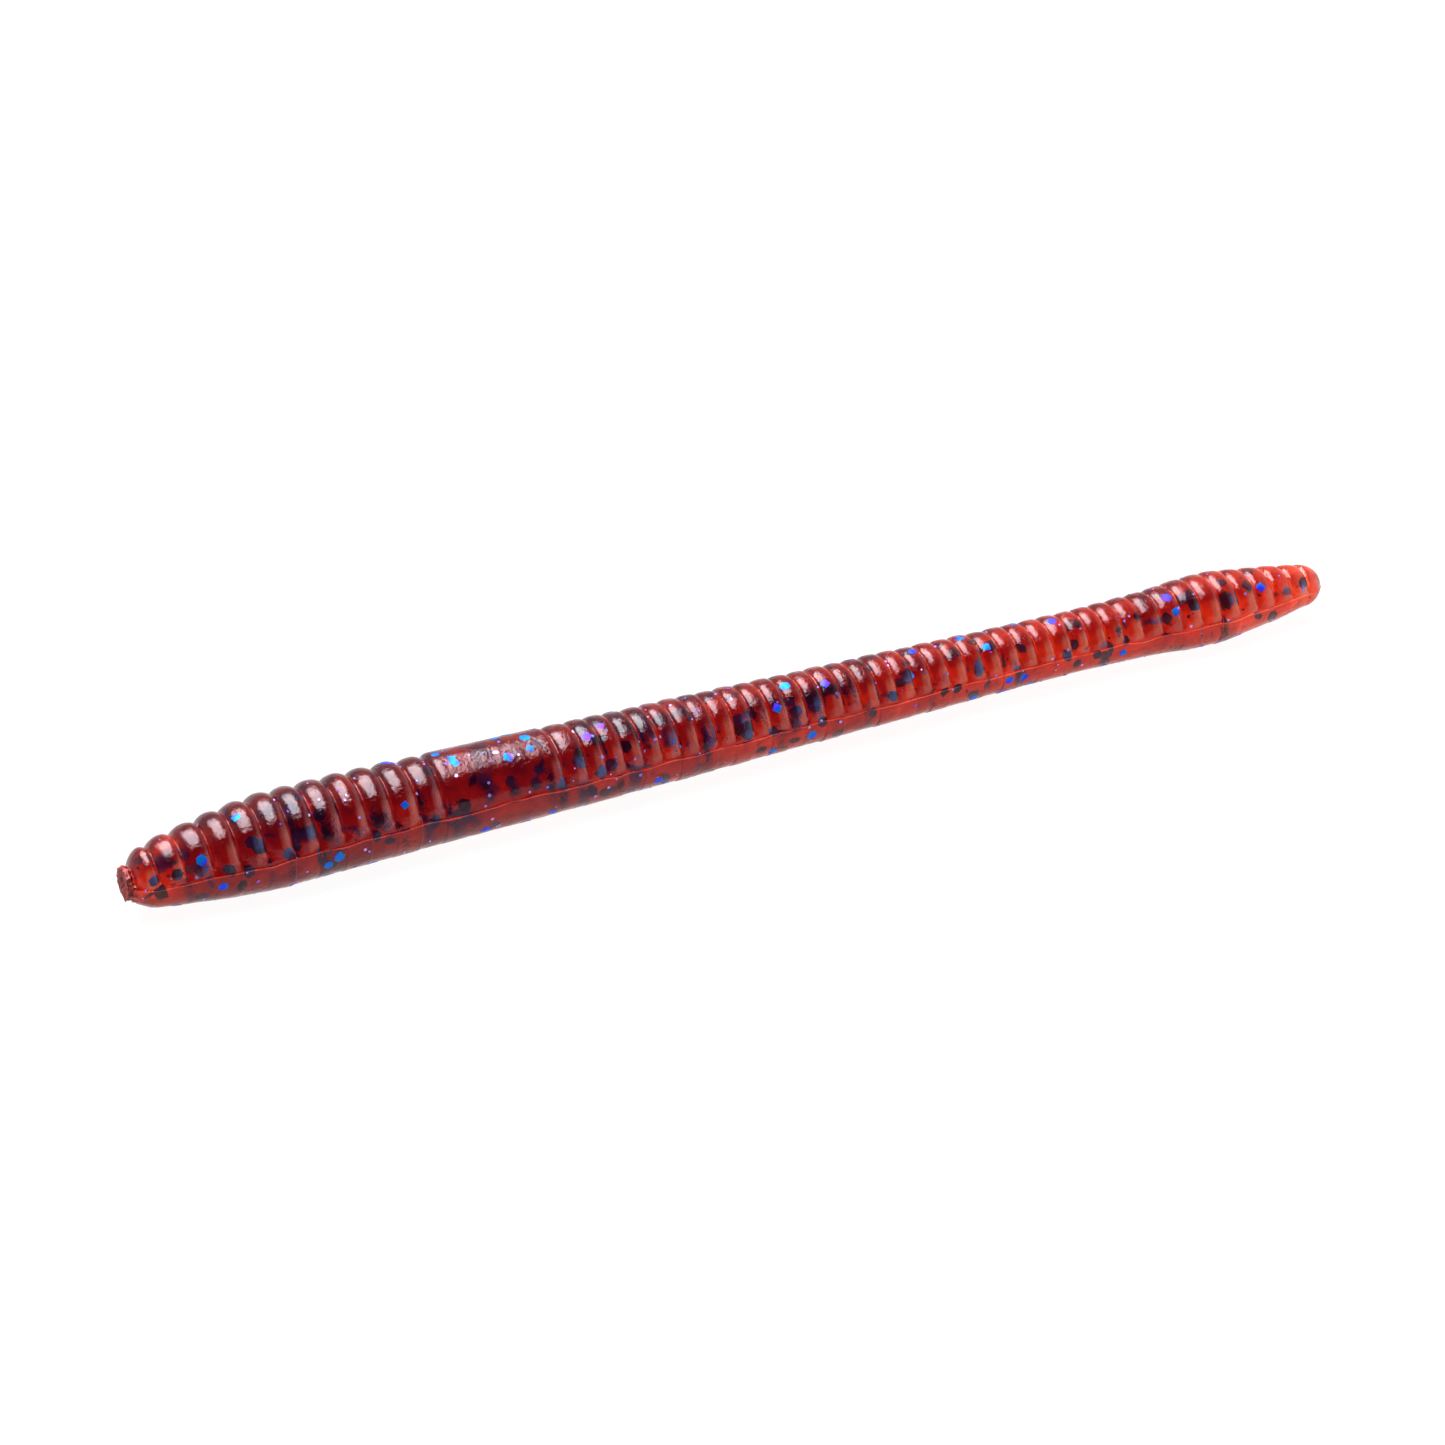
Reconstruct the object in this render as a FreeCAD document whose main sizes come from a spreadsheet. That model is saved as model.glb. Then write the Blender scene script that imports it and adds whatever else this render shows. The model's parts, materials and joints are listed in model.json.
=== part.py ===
import FreeCAD
import Part
import Sketcher

import math
import os
import random

# A straight ribbed soft plastic worm, lying on its belly with its nose towards -X.
#
# The worm is one soft moulding. Its upper half carries ribs, each a shallow barrel between
# two sharp grooves, and its lower half is smooth. A plain collar parts the fat head ribs from
# the finer body ribs. The moulding is drawn as short stretches that meet face to face. The
# stretches of three or four ribs are rigid, and each single rib between two of them is a place
# where the soft plastic bends.
#
# Everything is first drawn in the mould's own frame: X runs along the worm from the nose, and
# the parting plane of the mould is Z = 0. The whole worm is then tipped by a fraction of a
# degree, so that its fat shoulder and the bulge near its tail both rest on the floor, and the
# floor trims a flat strip off each.

DIMENSIONS = [
    # Lengths along the worm, in millimetres.
    ("stub_length", 0.6, "torn stub of the casting gate, in front of the first rib"),
    ("first_rib_pitch", 1.6, "the first rib, at the nose"),
    ("head_rib_pitch", 2.02, "every other rib of the head"),
    ("collar_length", 9.75, "the smooth collar"),
    ("collar_bevel", 0.75, "bevel at each end of the collar"),
    ("rear_collar_rib_pitch", 1.9, "the first rib behind the collar"),
    ("body_rib_pitch", 1.545, "the ribs of the body"),
    ("tail_rib_pitch", 1.715, "the ribs of the tail"),
    ("tip_length", 1.72, "the rounded end of the tail"),
    # Radii of the moulding over its ribs, and where along the worm they are met.
    ("nose_station", 0.6, "front of the first rib"),
    ("nose_radius", 1.65, "radius there"),
    ("brow_station", 2.2, "back of the first rib"),
    ("brow_radius", 2.38, "radius there"),
    ("cheek_station", 5.2, "middle of the third rib"),
    ("cheek_radius", 2.98, "radius there"),
    ("shoulder_station", 12.2, "the fattest part of the head"),
    ("shoulder_radius", 3.66, "radius there"),
    ("collar_station", 24.4, "front of the collar"),
    ("collar_radius", 3.46, "radius there"),
    ("waist_station", 77.0, "front of the waist"),
    ("waist_radius", 2.49, "radius there"),
    ("waist_end_station", 82.0, "back of the waist"),
    ("waist_end_radius", 2.54, "radius there"),
    ("bulge_station", 90.0, "the bulge of the tail"),
    ("bulge_radius", 2.92, "radius there"),
    ("taper_station", 95.0, "halfway down the taper behind the bulge"),
    ("taper_radius", 2.5, "radius there"),
    ("tip_station", 99.57, "front of the rounded tip"),
    ("tip_radius", 1.7, "radius there"),
    # Ribs.
    ("head_groove_depth", 0.42, "depth of the grooves of the head"),
    ("body_groove_depth", 0.34, "depth of the grooves of the body and tail"),
    ("ribbed_angle", 168.0, "degrees of the section that the ribs cover, over the top"),
    ("smooth_angle", 192.0, "degrees of the section that are smooth, under the belly"),
    # The gate stub.
    ("stub_radius", 1.4, "radius of the gate stub"),
    ("stub_dish_radius", 0.75, "radius of the dish in its torn face"),
    ("stub_dish_depth", 0.16, "depth of that dish"),
    # How the worm lies.
    ("shoulder_height", 3.48, "height of the mould's axis over the floor at the shoulder"),
    ("bulge_height", 2.7, "height of the mould's axis over the floor at the bulge"),
    ("floor_margin", 5.0, "how far the floor block that trims the belly stands proud"),
    # Glitter.
    ("large_flake_width", 0.9, "across the flats of a large flake"),
    ("large_flake_thickness", 0.08, "thickness of a large flake"),
    ("small_flake_width", 0.4, "across the flats of a small flake"),
    ("small_flake_thickness", 0.06, "thickness of a small flake"),
    ("flake_depth", 0.12, "least cover of plastic over a flake"),
    ("flake_spacing", 0.08, "least gap between two flakes"),
    ("flake_end_gap", 0.05, "least gap between a flake and the end of its stretch"),
]

# How many ribs each rigid stretch of the head has. A single flex rib follows each but the last.
HEAD_STRETCHES = [("nose_ribs", 4), ("mid_head_ribs", 3), ("rear_head_ribs", 3)]
HEAD_RIBS = 12
BODY_RIBS = 30
TAIL_RIBS = 10
RIBS_PER_STRETCH = 3
BODY_STRETCHES = 8
FLAKE_SIDES = 6
LARGE_FLAKES_PER_MM = 1.5
SMALL_FLAKES_PER_MM = 2.5
FLAKE_SEED = 11

# Where the radius over the ribs is given, from nose to tail.
RADIUS_STATIONS = ["nose", "brow", "cheek", "shoulder", "collar", "waist", "waist_end",
                   "bulge", "taper", "tip"]

# How close two numbers in millimetres are when a corner is where it should be, or on an axis.
SAME_CORNER = 1e-6
ON_AXIS = 1e-9

doc = FreeCAD.newDocument("ribbed_worm")


# ---------------------------------------------------------------------------- dimensions

def make_sheet():
    sheet = doc.addObject("Spreadsheet::Sheet", "dims")
    for row, (alias, value, note) in enumerate(DIMENSIONS, start=1):
        sheet.set(f"A{row}", note)
        sheet.set(f"B{row}", str(value))
        sheet.setAlias(f"B{row}", alias)
    doc.recompute()
    return sheet


sheet = make_sheet()


def number(expression):
    """The value that an expression over the sheet has now."""
    return float(sheet.evalExpression(expression))


# ------------------------------------------------------------- rings: where grooves lie

# Ring 0 is the front of the first rib, and each rib ends at the next ring. The collar lies
# between two rings like a long rib.
COLLAR_RING = HEAD_RIBS
BODY_RING = COLLAR_RING + 2
TAIL_RING = BODY_RING + BODY_RIBS
LAST_RING = TAIL_RING + TAIL_RIBS


def ring_station(ring):
    """Distance of a ring from the face of the gate stub, as an expression."""
    terms = ["dims.stub_length"]
    if ring >= 1:
        terms.append("dims.first_rib_pitch")
        terms.append(f"{min(ring, COLLAR_RING) - 1} * dims.head_rib_pitch")
    if ring > COLLAR_RING:
        terms.append("dims.collar_length")
    if ring >= BODY_RING:
        terms.append("dims.rear_collar_rib_pitch")
        terms.append(f"{min(ring, TAIL_RING) - BODY_RING} * dims.body_rib_pitch")
    if ring > TAIL_RING:
        terms.append(f"{ring - TAIL_RING} * dims.tail_rib_pitch")
    return " + ".join(terms)


def outer_radius(ring):
    """Radius over the ribs at a ring, on straight lines between the named stations."""
    station = ring_station(ring)
    after = 1
    while after < len(RADIUS_STATIONS) - 1 and \
            number(station) > number(f"dims.{RADIUS_STATIONS[after]}_station"):
        after += 1
    low, high = RADIUS_STATIONS[after - 1], RADIUS_STATIONS[after]
    share = f"(({station}) - dims.{low}_station) / (dims.{high}_station - dims.{low}_station)"
    return f"dims.{low}_radius + (dims.{high}_radius - dims.{low}_radius) * {share}"


def groove_depth(ring):
    """The head's grooves are deeper than the body's."""
    return "dims.head_groove_depth" if ring <= COLLAR_RING else "dims.body_groove_depth"


def groove_radius(ring):
    return f"{outer_radius(ring)} - {groove_depth(ring)}"


def rib_arc_radius(ring):
    """Radius of the arc that rises from one ring to a rib's crown and falls to the next."""
    depth = groove_depth(ring + 1)
    half = f"(({ring_station(ring + 1)}) - ({ring_station(ring)})) / 2"
    return f"(({half}) ^ 2 + {depth} ^ 2) / (2 * {depth})"


# ------------------------------------------------------------------------------ sketches

def make_body(name):
    return doc.addObject("PartDesign::Body", name)


def make_sketch(body, name):
    """An empty sketch on the body's XZ plane: sketch X is the worm's axis, sketch Y is up."""
    plane = next(f for f in body.Origin.OriginFeatures if f.Role == "XZ_Plane")
    sketch = body.newObject("Sketcher::SketchObject", name)
    sketch.AttachmentSupport = (plane, [""])
    sketch.MapMode = "FlatFace"
    return sketch


def bind(sketch, name, constraint, expression):
    """Adds a named dimension to a sketch and ties it to the sheet."""
    index = sketch.addConstraint(constraint)
    sketch.renameConstraint(index, name)
    sketch.setExpression(f"Constraints.{name}", expression)


class Outline:
    """A closed outline, drawn edge by edge from a start point on the axis."""

    def __init__(self, sketch):
        self.sketch = sketch
        self.points = []
        self.arcs = {}

    def point(self, x, y):
        """The next corner, as two expressions for its place along and off the axis."""
        self.points.append((x, y))

    def arc(self, radius):
        """Makes the edge that starts at the latest corner an arc that bows outward."""
        self.arcs[len(self.points) - 1] = radius

    def place(self, index):
        x, y = self.points[index % len(self.points)]
        return FreeCAD.Vector(number(x), number(y), 0)

    def draw(self):
        count = len(self.points)
        for index in range(count):
            start, end = self.place(index), self.place(index + 1)
            if index in self.arcs:
                self.sketch.addGeometry(self.arc_between(start, end, self.arcs[index]), False)
            else:
                self.sketch.addGeometry(Part.LineSegment(start, end), False)
        for index in range(count):
            self.join(index, (index + 1) % count)
        for index, (x, y) in enumerate(self.points):
            self.fix(index, x, y)
        for index, radius in self.arcs.items():
            value = number(radius)
            bind(self.sketch, f"arc_{index}", Sketcher.Constraint("Radius", index, value), radius)

    def arc_between(self, start, end, radius):
        """The minor arc of that radius that bows away from the axis, drawn anticlockwise."""
        value = number(radius)
        chord = end - start
        away = FreeCAD.Vector(-chord.y, chord.x, 0).normalize()
        centre = (start + end) / 2 - away * math.sqrt(value ** 2 - (chord.Length / 2) ** 2)
        first = math.atan2(end.y - centre.y, end.x - centre.x)
        last = math.atan2(start.y - centre.y, start.x - centre.x)
        circle = Part.Circle(centre, FreeCAD.Vector(0, 0, 1), value)
        return Part.ArcOfCircle(circle, first, last)

    def start_of(self, index):
        """Which end of an edge is its first corner: arcs are stored anticlockwise."""
        stored = self.sketch.Geometry[index].StartPoint
        return 1 if (stored - self.place(index)).Length < SAME_CORNER else 2

    def join(self, index, following):
        end = 3 - self.start_of(index)
        start = self.start_of(following)
        self.sketch.addConstraint(Sketcher.Constraint("Coincident", index, end, following, start))

    def fix(self, index, x, y):
        """Ties a corner to the sheet, or to the axis where it lies on it."""
        corner = self.start_of(index)
        place = self.place(index)
        if abs(place.x) < ON_AXIS and abs(place.y) < ON_AXIS:
            self.sketch.addConstraint(Sketcher.Constraint("Coincident", index, corner, -1, 1))
            return
        if abs(place.x) < ON_AXIS:
            self.sketch.addConstraint(Sketcher.Constraint("PointOnObject", index, corner, -2))
        else:
            along = Sketcher.Constraint("DistanceX", -1, 1, index, corner, place.x)
            bind(self.sketch, f"x_{index}", along, x)
        if abs(place.y) < ON_AXIS:
            self.sketch.addConstraint(Sketcher.Constraint("PointOnObject", index, corner, -1))
        else:
            off = Sketcher.Constraint("DistanceY", -1, 1, index, corner, place.y)
            bind(self.sketch, f"y_{index}", off, y)


def revolve(body, sketch, name, angle):
    """Turns an outline about the worm's axis, evenly to both sides of the sketch."""
    feature = body.newObject("PartDesign::Revolution", name)
    feature.Profile = sketch
    feature.ReferenceAxis = (sketch, ["H_Axis"])
    feature.Midplane = True
    feature.setExpression("Angle", angle)
    sketch.Visibility = False


def turn_below(sketch):
    """Turns a sketch half round the worm's axis, so that its outline lies under it."""
    sketch.AttachmentOffset = FreeCAD.Placement(
        FreeCAD.Vector(0, 0, 0), FreeCAD.Rotation(FreeCAD.Vector(1, 0, 0), 180))


# ------------------------------------------------------------------------------ moulding

def local(station, first):
    """A station, measured from the ring that starts the stretch."""
    return f"({station}) - ({ring_station(first)})"


def ribbed_half(body, first, last, rounded_tip):
    """The upper half of a stretch: one barrel arc for each rib."""
    outline = Outline(make_sketch(body, f"{body.Name}_ribs"))
    outline.point("0", "0")
    outline.point("0", groove_radius(first))
    for ring in range(first, last):
        outline.arc(rib_arc_radius(ring))
        outline.point(local(ring_station(ring + 1), first), groove_radius(ring + 1))
    if rounded_tip:
        close_with_tip(outline, first, groove_radius(last))
    else:
        outline.point(local(ring_station(last), first), "0")
    outline.draw()
    revolve(body, outline.sketch, f"{body.Name}_ribbed", "dims.ribbed_angle")


def smooth_half(body, first, last, rounded_tip):
    """The lower half of a stretch, drawn below the axis."""
    outline = Outline(make_sketch(body, f"{body.Name}_belly"))
    outline.point("0", "0")
    outline.point("0", outer_radius(first))
    for ring in range(first, last):
        outline.point(local(ring_station(ring + 1), first), outer_radius(ring + 1))
    if rounded_tip:
        close_with_tip(outline, first, outer_radius(last))
    else:
        outline.point(local(ring_station(last), first), "0")
    outline.draw()
    revolve(body, outline.sketch, f"{body.Name}_smooth", "dims.smooth_angle")
    turn_below(outline.sketch)


def close_with_tip(outline, first, radius):
    """Ends an outline in an arc that meets the axis squarely."""
    outline.arc(f"(({radius}) ^ 2 + dims.tip_length ^ 2) / (2 * dims.tip_length)")
    outline.point(f"{local(ring_station(LAST_RING), first)} + dims.tip_length", "0")


def collar_crown(body, first):
    """The upper half of the smooth collar, with a bevel at each end."""
    outline = Outline(make_sketch(body, f"{body.Name}_crown"))
    length = local(ring_station(first + 1), first)
    outline.point("0", "0")
    outline.point("0", groove_radius(first))
    outline.point("dims.collar_bevel", outer_radius(first))
    outline.point(f"{length} - dims.collar_bevel", outer_radius(first + 1))
    outline.point(length, groove_radius(first + 1))
    outline.point(length, "0")
    outline.draw()
    revolve(body, outline.sketch, f"{body.Name}_crown_turned", "dims.ribbed_angle")


def lay_down(thing, station):
    """Places a piece drawn from its own start so that it lies along the worm's axis."""
    run = "(dims.bulge_station - dims.shoulder_station)"
    fall = f"(dims.shoulder_height - dims.bulge_height) / {run}"
    # The turn is about Y. Its angle is a stand-in, which the sheet then replaces.
    thing.Placement = FreeCAD.Placement(
        FreeCAD.Vector(0, 0, 0), FreeCAD.Rotation(FreeCAD.Vector(0, 1, 0), 1))
    length = total_length()
    height = f"dims.shoulder_height + (dims.shoulder_station - ({station})) * {fall}"
    thing.setExpression("Placement.Base.x", f"{station} - ({length}) / 2")
    thing.setExpression("Placement.Base.z", height)
    thing.setExpression("Placement.Rotation.Angle", f"atan({fall})")


def total_length():
    return f"{ring_station(LAST_RING)} + dims.tip_length"


def make_floor():
    """A block under the worm. Its top face is the floor."""
    floor = doc.addObject("Part::Box", "floor_block")
    floor.setExpression("Length", f"{total_length()} + 2 * dims.floor_margin")
    floor.setExpression("Width", "2 * (dims.shoulder_radius + dims.floor_margin)")
    floor.setExpression("Height", "dims.floor_margin")
    floor.setExpression("Placement.Base.x", f"-({total_length()}) / 2 - dims.floor_margin")
    floor.setExpression("Placement.Base.y", "-dims.shoulder_radius - dims.floor_margin")
    floor.setExpression("Placement.Base.z", "-dims.floor_margin")
    return floor


def trim(body, floor, name):
    """The finished stretch: whatever the floor would hold is cut away."""
    cut = doc.addObject("Part::Cut", f"{name}_trimmed")
    cut.Base = body
    cut.Tool = floor
    cut.Label = name
    return cut


def make_stretch(name, first, last, floor):
    """A stretch of the moulding, from one ring to another."""
    body = make_body(f"{name}_body")
    rounded_tip = last == LAST_RING
    if first == COLLAR_RING:
        collar_crown(body, first)
    else:
        ribbed_half(body, first, last, rounded_tip)
    smooth_half(body, first, last, rounded_tip)
    lay_down(body, ring_station(first))
    return trim(body, floor, name)


def make_gate_stub(floor):
    """The short torn stub in front of the first rib, with a shallow dish in its face."""
    body = make_body("gate_stub_body")
    outline = Outline(make_sketch(body, "gate_stub_outline"))
    outline.point("dims.stub_dish_depth", "0")
    outline.point("0", "dims.stub_dish_radius")
    outline.point("0", "dims.stub_radius")
    outline.point("dims.stub_length", "dims.stub_radius")
    outline.point("dims.stub_length", "0")
    outline.draw()
    revolve(body, outline.sketch, "gate_stub_turned", "360")
    lay_down(body, "0")
    return trim(body, floor, "gate_stub")


# ------------------------------------------------------------------------------- glitter

def room_at(station):
    """Radius that flakes may reach at a station along the worm, inside the grooves."""
    ring = 0
    while ring < LAST_RING and number(ring_station(ring + 1)) < station:
        ring += 1
    nearest = min(number(groove_radius(ring)), number(groove_radius(min(ring + 1, LAST_RING))))
    return nearest - number("dims.flake_depth")


def scatter(chooser, first, last, counts):
    """Random places for flakes inside a stretch, none of them touching another.

    Returns one list of (place, turn axis, turn angle) for each size of flake."""
    start, end = number(ring_station(first)), number(ring_station(last))
    taken = []
    placed = []
    for width, count in counts:
        reach = number(width) / math.sqrt(3)
        group = []
        while len(group) < count:
            margin = reach + number("dims.flake_end_gap")
            station = chooser.uniform(start + margin, end - margin)
            limit = room_at(station) - reach
            radius = limit * math.sqrt(chooser.random())
            around = chooser.uniform(0, 2 * math.pi)
            spot = FreeCAD.Vector(station, radius * math.cos(around), radius * math.sin(around))
            clear = reach + number("dims.flake_spacing")
            if any((spot - other).Length < clear + size for other, size in taken):
                continue
            taken.append((spot, reach))
            tilt = FreeCAD.Vector(chooser.uniform(-1, 1), chooser.uniform(-1, 1),
                                  chooser.uniform(-1, 1))
            group.append((spot, tilt, chooser.uniform(0, 180)))
        placed.append(group)
    return placed


def make_flakes(name, places, width, thickness):
    """One node of flakes: hexagonal platelets, each its own solid, set in the plastic."""
    flakes = []
    for index, (spot, tilt, turn) in enumerate(places, start=1):
        flake = doc.addObject("Part::Prism", f"{name}_{index}")
        flake.Polygon = FLAKE_SIDES
        flake.setExpression("Circumradius", f"{width} / sqrt(3)")
        flake.setExpression("Height", thickness)
        flake.Placement = LAID * FreeCAD.Placement(spot, FreeCAD.Rotation(tilt, turn))
        flakes.append(flake)
    group = doc.addObject("Part::Compound", f"{name}_group")
    group.Links = flakes
    group.Label = name
    return group


def laid_placement():
    """How the mould's frame, with the gate stub's face at its origin, lies on the floor."""
    probe = doc.addObject("Part::Box", "probe")
    lay_down(probe, "0")
    doc.recompute()
    placement = FreeCAD.Placement(probe.Placement)
    doc.removeObject(probe.Name)
    return placement


# -------------------------------------------------------------------------- the whole worm

def stretch_plan():
    """Each stretch as (name, first ring, last ring), from nose to tail.

    Single ribs, the flex ribs, lie between the rigid stretches."""
    rigid = []
    ring = 0
    for name, ribs in HEAD_STRETCHES:
        rigid.append((name, ring, ring + ribs))
        ring += ribs + 1
    rigid.append(("collar", COLLAR_RING, COLLAR_RING + 1))
    ring = BODY_RING
    names = [f"body_ribs_{index}" for index in range(1, BODY_STRETCHES + 1)]
    names += ["tail_ribs", "tail_tip"]
    for name in names:
        last = LAST_RING if name == "tail_tip" else ring + RIBS_PER_STRETCH
        rigid.append((name, ring, last))
        ring = last + 1
    plan = [rigid[0]]
    flex = 0
    for before, after in zip(rigid, rigid[1:]):
        if before[2] != after[1]:
            flex += 1
            plan.append((f"flex_rib_{flex:02d}", before[2], after[1]))
        plan.append(after)
    return plan


def flake_plan(plan):
    """Which stretches hold flakes: every rigid one except the short one beside the collar."""
    return [entry for entry in plan
            if not entry[0].startswith("flex") and entry[0] != "rear_head_ribs"]


LAID = laid_placement()
floor = make_floor()
nodes = [make_gate_stub(floor)]
plan = stretch_plan()
for name, first, last in plan:
    nodes.append(make_stretch(name, first, last, floor))

chooser = random.Random(FLAKE_SEED)
for name, first, last in flake_plan(plan):
    length = number(ring_station(last)) - number(ring_station(first))
    counts = [("dims.large_flake_width", round(length * LARGE_FLAKES_PER_MM)),
              ("dims.small_flake_width", round(length * SMALL_FLAKES_PER_MM))]
    large, small = scatter(chooser, first, last, counts)
    nodes.append(make_flakes(f"large_flakes_{name}", large,
                             "dims.large_flake_width", "dims.large_flake_thickness"))
    nodes.append(make_flakes(f"small_flakes_{name}", small,
                             "dims.small_flake_width", "dims.small_flake_thickness"))

doc.recompute()


# ------------------------------------------------------------------------ checks and files

def check_document():
    for thing in doc.Objects:
        bad = [state for state in thing.State if state in ("Invalid", "Error")]
        if bad:
            raise RuntimeError(f"{thing.Label} did not compute: {bad}")
    for node in nodes:
        if node.Shape.isNull() or not node.Shape.isValid():
            raise RuntimeError(f"{node.Label} has no valid shape")


def write_parts():
    os.makedirs("parts", exist_ok=True)
    for node in nodes:
        node.Shape.exportStep(f"parts/{node.Label}.step")
        box = node.Shape.optimalBoundingBox(False, False)
        print(f"{node.Label}: {len(node.Shape.Solids)} solids, {node.Shape.Volume:.3f} mm3, "
              f"x {box.XMin:.3f} to {box.XMax:.3f}, z {box.ZMin:.4f} to {box.ZMax:.3f}")


check_document()
write_parts()
print(f"{len(nodes)} nodes, overall length {number(total_length()):.3f} mm")
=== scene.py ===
import json
import math
import random

import bpy
import numpy as np
from mathutils import Matrix, Vector
from mathutils import noise as perlin

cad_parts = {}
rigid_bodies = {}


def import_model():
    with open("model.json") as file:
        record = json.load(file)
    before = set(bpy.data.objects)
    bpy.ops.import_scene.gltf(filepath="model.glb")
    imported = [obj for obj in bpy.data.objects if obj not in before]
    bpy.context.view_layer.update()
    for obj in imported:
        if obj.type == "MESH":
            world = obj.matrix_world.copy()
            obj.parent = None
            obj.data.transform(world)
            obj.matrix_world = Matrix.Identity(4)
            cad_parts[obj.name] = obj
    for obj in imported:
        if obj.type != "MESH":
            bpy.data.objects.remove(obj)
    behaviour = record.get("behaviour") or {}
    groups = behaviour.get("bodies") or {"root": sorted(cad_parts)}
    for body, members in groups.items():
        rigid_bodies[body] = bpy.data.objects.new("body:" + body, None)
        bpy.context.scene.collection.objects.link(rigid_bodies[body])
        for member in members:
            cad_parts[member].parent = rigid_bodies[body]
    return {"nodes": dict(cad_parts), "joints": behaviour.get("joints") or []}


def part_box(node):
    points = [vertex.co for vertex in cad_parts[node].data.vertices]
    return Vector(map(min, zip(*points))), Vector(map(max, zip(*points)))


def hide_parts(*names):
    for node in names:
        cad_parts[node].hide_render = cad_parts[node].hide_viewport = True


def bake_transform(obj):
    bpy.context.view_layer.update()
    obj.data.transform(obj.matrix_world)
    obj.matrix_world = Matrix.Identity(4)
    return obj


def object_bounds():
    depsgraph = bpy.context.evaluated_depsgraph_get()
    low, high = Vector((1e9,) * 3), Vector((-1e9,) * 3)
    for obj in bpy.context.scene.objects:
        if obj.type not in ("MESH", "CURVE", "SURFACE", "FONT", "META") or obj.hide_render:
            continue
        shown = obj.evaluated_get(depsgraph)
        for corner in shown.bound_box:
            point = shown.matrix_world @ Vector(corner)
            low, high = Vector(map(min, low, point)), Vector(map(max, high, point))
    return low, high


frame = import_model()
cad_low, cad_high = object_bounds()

MM = 0.001
DEGREE = math.pi / 180.0


# ------------------------------------------------------------------ the worm's measures
#
# The worm lies along X, nose towards -X. Its mould axis passes through every joint. A ring
# is a groove between two ribs, numbered from the nose as in the CAD model, and a place
# along the axis is its distance from the nose end. The angle round the axis is 0 at the
# top, and 90 degrees at the parting line on the +Y side.

HEAD_RIBS = 12
COLLAR_RING = 12
BODY_RING = 14
TAIL_RING = 44
LAST_RING = 54

FIRST_RING = 0.60 * MM
FIRST_RIB = 1.60 * MM
HEAD_PITCH = 2.02 * MM
COLLAR_LENGTH = 9.75 * MM
REAR_COLLAR_RIB = 1.90 * MM
BODY_PITCH = 1.545 * MM
TAIL_PITCH = 1.715 * MM
TIP_LENGTH = 1.72 * MM

# How far the crowns of the ribs are from the axis, as (place, radius).
RADII = (
    (0.60 * MM, 1.62 * MM),
    (1.40 * MM, 2.18 * MM),
    (3.20 * MM, 2.66 * MM),
    (5.20 * MM, 2.98 * MM),
    (9.20 * MM, 3.50 * MM),
    (12.2 * MM, 3.71 * MM),
    (16.2 * MM, 3.65 * MM),
    (24.4 * MM, 3.51 * MM),
    (38.0 * MM, 3.28 * MM),
    (54.0 * MM, 2.94 * MM),
    (68.0 * MM, 2.65 * MM),
    (77.0 * MM, 2.48 * MM),
    (82.0 * MM, 2.54 * MM),
    (87.0 * MM, 2.73 * MM),
    (89.0 * MM, 2.89 * MM),
    (90.5 * MM, 2.95 * MM),
    (92.0 * MM, 2.88 * MM),
    (94.0 * MM, 2.63 * MM),
    (96.0 * MM, 2.35 * MM),
    (97.9 * MM, 2.04 * MM),
    (99.57 * MM, 1.75 * MM),
)
FATTEST = max(radius for _, radius in RADII)

# Grooves: how deep they are, how square the ribs between them are, and where they run out
# into the flanks.
HEAD_GROOVE = 0.46 * MM
BODY_GROOVE = 0.26 * MM
LOWER_STEP = 0.05 * MM
HEAD_ROUNDNESS = 2.0
BODY_ROUNDNESS = 3.0
GROOVE_SHARPNESS = 0.64
GROOVE_FILLET = 0.14
RIB_END_START = 72 * DEGREE
RIB_END = 85 * DEGREE
COLLAR_BEVEL = 0.75 * MM

# The parting line's flash, a thin fin that wanders and comes and goes along the worm.
FLASH_HEIGHT = 0.09 * MM
FLASH_WIDTH = 0.9 * DEGREE
FLASH_WOBBLE = 2.6 * DEGREE
FLASH_MEAN = 0.75
FLASH_SWING = 0.9
FLASH_LIMITS = (0.15, 1.3)

# How a soft casting differs from its mould.
SHAPE_SEED = 5
RIB_VARIATION = 0.035 * MM
GROOVE_VARIATION = 0.10
SURFACE_UNDULATION = 0.022 * MM
NOSE_DROOP = 0.80 * MM
DROOP_LENGTH = 20.0 * MM
ROLL = 5.0 * DEGREE

# The torn stub of the casting gate at the nose.
STUB_RADIUS = 1.30 * MM
STUB_DISH_RADIUS = 0.85 * MM
STUB_DISH_DEPTH = 0.20 * MM
STUB_ROUGHNESS = 0.24 * MM
FACE_ROUGHNESS = 0.192 * MM
TORN_LENGTH = 2.0 * FIRST_RING

# Noise that shapes the skin, in layers of (size of its features, strength, seed).
SEED_SPACING = (17.3, 7.1, 3.7)
SKIN_WAVES = ((0.9 * MM, 1.0, 1), (0.35 * MM, 0.6, 2))
FLASH_CHANGES = ((1.3 * MM, 1.0, 3),)
STUB_CRUMBS = ((0.28 * MM, 1.0, 4),)
FLASH_WANDERING = ((1.7 * MM, 1.0, 5),)
FACE_CRUMBS = ((0.33 * MM, 1.0, 6), (0.15 * MM, 0.6, 7))

joints = {joint["name"]: joint for joint in frame["joints"]}
JOINT_ORDER = ["head_bend_1", "head_bend_2"]
JOINT_ORDER += [f"body_bend_{number}" for number in range(1, 9)]
JOINT_ORDER += ["tail_bend_1", "tail_bend_2"]

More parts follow.
